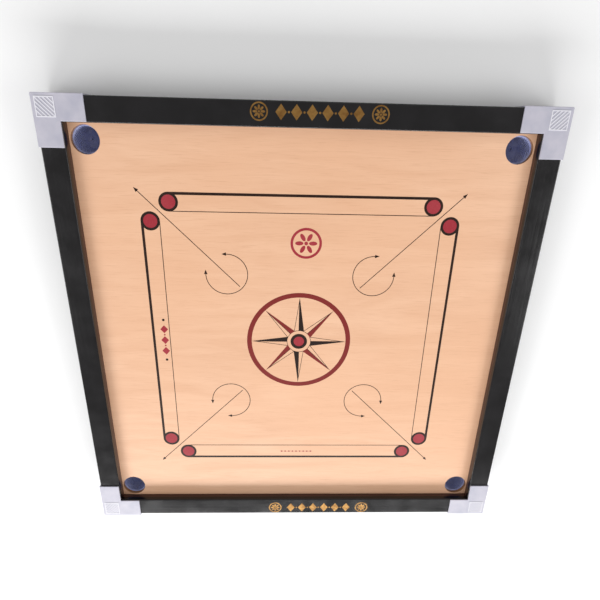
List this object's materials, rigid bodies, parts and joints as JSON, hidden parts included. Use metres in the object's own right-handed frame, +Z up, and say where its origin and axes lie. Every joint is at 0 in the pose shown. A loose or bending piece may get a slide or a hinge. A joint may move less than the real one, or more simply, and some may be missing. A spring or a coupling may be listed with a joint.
{
  "type": "carrom board",
  "caption": "Square carrom board with a black timber frame, lacquered plywood surface, netted corner pockets and white lift-off corner guards.",
  "frame": {"origin": "on the surface that the board lies on, under the middle of the square frame", "axes": "+Z up out of the playing surface, +Y towards the back rail (the upper edge in plan), +X towards the right rail"},
  "size_m": [0.8166, 0.8166, 0.0532],
  "materials": {
    "rail_lacquer": "gloss",
    "lacquered_ply": "gloss",
    "plain_timber": "matte",
    "net_nylon": "matte",
    "hoop_plastic": "satin",
    "guard_plastic": "satin",
    "fastener_steel": "satin",
    "black_ink": "satin",
    "red_ink": "satin",
    "gold_foil": "satin"
  },
  "bodies": {
    "board": {"front_rail": "rail_lacquer", "right_rail": "rail_lacquer", "back_rail": "rail_lacquer", "left_rail": "rail_lacquer", "playing_surface": "lacquered_ply", "bead_front_left": "plain_timber", "bead_front_right": "plain_timber", "bead_right_front": "plain_timber", "bead_right_back": "plain_timber", "bead_back_right": "plain_timber", "bead_back_left": "plain_timber", "bead_left_back": "plain_timber", "bead_left_front": "plain_timber", "batten_left_right": "plain_timber", "batten_front_back": "plain_timber", "pocket_net_front_left": "net_nylon", "pocket_net_front_right": "net_nylon", "pocket_net_back_right": "net_nylon", "pocket_net_back_left": "net_nylon", "pocket_hoop_front_left": "hoop_plastic", "pocket_hoop_front_right": "hoop_plastic", "pocket_hoop_back_right": "hoop_plastic", "pocket_hoop_back_left": "hoop_plastic", "corner_screws": "fastener_steel", "batten_screws": "fastener_steel", "bead_pins": "fastener_steel", "pocket_staples": "fastener_steel", "print_black": "black_ink", "print_red": "red_ink", "back_rail_foil": "gold_foil", "front_rail_foil": "gold_foil"},
    "corner_guard_front_left": {"corner_guard_front_left": "guard_plastic"},
    "corner_guard_front_right": {"corner_guard_front_right": "guard_plastic"},
    "corner_guard_back_right": {"corner_guard_back_right": "guard_plastic"},
    "corner_guard_back_left": {"corner_guard_back_left": "guard_plastic"}
  },
  "joints": [
    {"name": "lift_front_left", "type": "slide", "parent": "board", "child": "corner_guard_front_left", "axis": [0, 0, 1], "range_m": [0, 0.06]},
    {"name": "lift_front_right", "type": "slide", "parent": "board", "child": "corner_guard_front_right", "axis": [0, 0, 1], "range_m": [0, 0.06]},
    {"name": "lift_back_right", "type": "slide", "parent": "board", "child": "corner_guard_back_right", "axis": [0, 0, 1], "range_m": [0, 0.06]},
    {"name": "lift_back_left", "type": "slide", "parent": "board", "child": "corner_guard_back_left", "axis": [0, 0, 1], "range_m": [0, 0.06]}
  ]
}
